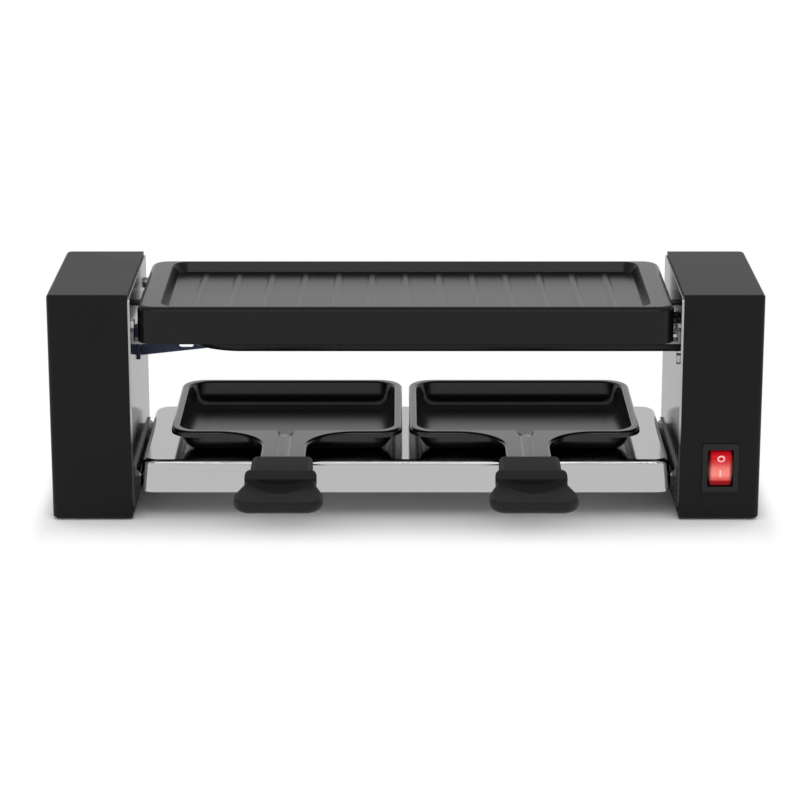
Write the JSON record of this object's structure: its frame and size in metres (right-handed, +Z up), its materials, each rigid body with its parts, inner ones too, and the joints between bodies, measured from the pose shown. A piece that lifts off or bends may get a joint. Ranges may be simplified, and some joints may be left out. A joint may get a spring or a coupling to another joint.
{
  "type": "raclette grill",
  "caption": "Low raclette grill: ribbed lift-off grill plate over a tube heater between two black end housings, small pans on a steel tray below, red rocker switch.",
  "frame": {"origin": "middle of the whole object's bounding box seen from above, on the surface that the feet stand on", "axes": "+X to the user's right (the housing with the switch), +Y to the back, +Z up"},
  "size_m": [0.36, 0.2124, 0.118],
  "materials": {
    "housing_plastic": "satin black moulding",
    "foot_rubber": "matt",
    "side_steel": "polished sheet",
    "tray_steel": "polished sheet",
    "screw_steel": "zinc plated",
    "plate_coating": "semi-gloss non-stick coating",
    "rest_steel": "plain sheet",
    "heater_tube": "dark oxidised tube",
    "heater_bracket_steel": "heat-blued sheet",
    "pan_coating": "gloss non-stick coating",
    "handle_plastic": "fine matt moulding",
    "switch_plastic": "gloss black",
    "rocker_plastic": "translucent red",
    "ceramic_seal": "glazed bead with plated pin",
    "block_plastic": "white",
    "brass_screw": "plain",
    "wire_brown": "insulation",
    "wire_blue": "insulation",
    "bush_rubber": "matt"
  },
  "bodies": {
    "base": {"left_housing": "housing_plastic", "right_housing": "housing_plastic", "left_feet": "foot_rubber", "right_feet": "foot_rubber", "left_side_plate": "side_steel", "right_side_plate": "side_steel", "left_plate_screws": "screw_steel", "right_plate_screws": "screw_steel", "drip_tray": "tray_steel", "tray_rivets": "screw_steel", "left_plate_rests": "rest_steel", "right_plate_rests": "rest_steel", "heating_element": "heater_tube", "heater_pins": "ceramic_seal", "heater_bracket": "heater_bracket_steel", "bracket_rivets": "screw_steel", "heater_flange": "heater_bracket_steel", "flange_screws": "screw_steel", "switch_frame": "switch_plastic", "switch_tabs": "screw_steel", "terminal_block": "block_plastic", "block_screws": "brass_screw", "switched_wire": "wire_brown", "live_wire": "wire_brown", "neutral_wire": "wire_blue", "cord_bush": "bush_rubber"},
    "grill_plate": {"grill_plate": "plate_coating"},
    "left_pan_unit": {"left_pan": "pan_coating", "left_pan_handle": "handle_plastic", "left_handle_screw": "screw_steel"},
    "right_pan_unit": {"right_pan": "pan_coating", "right_pan_handle": "handle_plastic", "right_handle_screw": "screw_steel"},
    "rocker": {"switch_rocker": "rocker_plastic"}
  },
  "joints": [
    {"name": "plate_lift", "type": "slide", "parent": "base", "child": "grill_plate", "axis": [0, 0, 1], "range_m": [0, 0.06]},
    {"name": "left_pan_slide", "type": "slide", "parent": "base", "child": "left_pan_unit", "axis": [0, -1, 0], "range_m": [0, 0.13]},
    {"name": "right_pan_slide", "type": "slide", "parent": "base", "child": "right_pan_unit", "axis": [0, -1, 0], "range_m": [0, 0.13]},
    {"name": "rocker_pivot", "type": "hinge", "parent": "base", "child": "rocker", "pos_m": [0.15965, -0.00155, 0.028], "axis": [1, 0, 0], "range_deg": [-20, 0]}
  ]
}
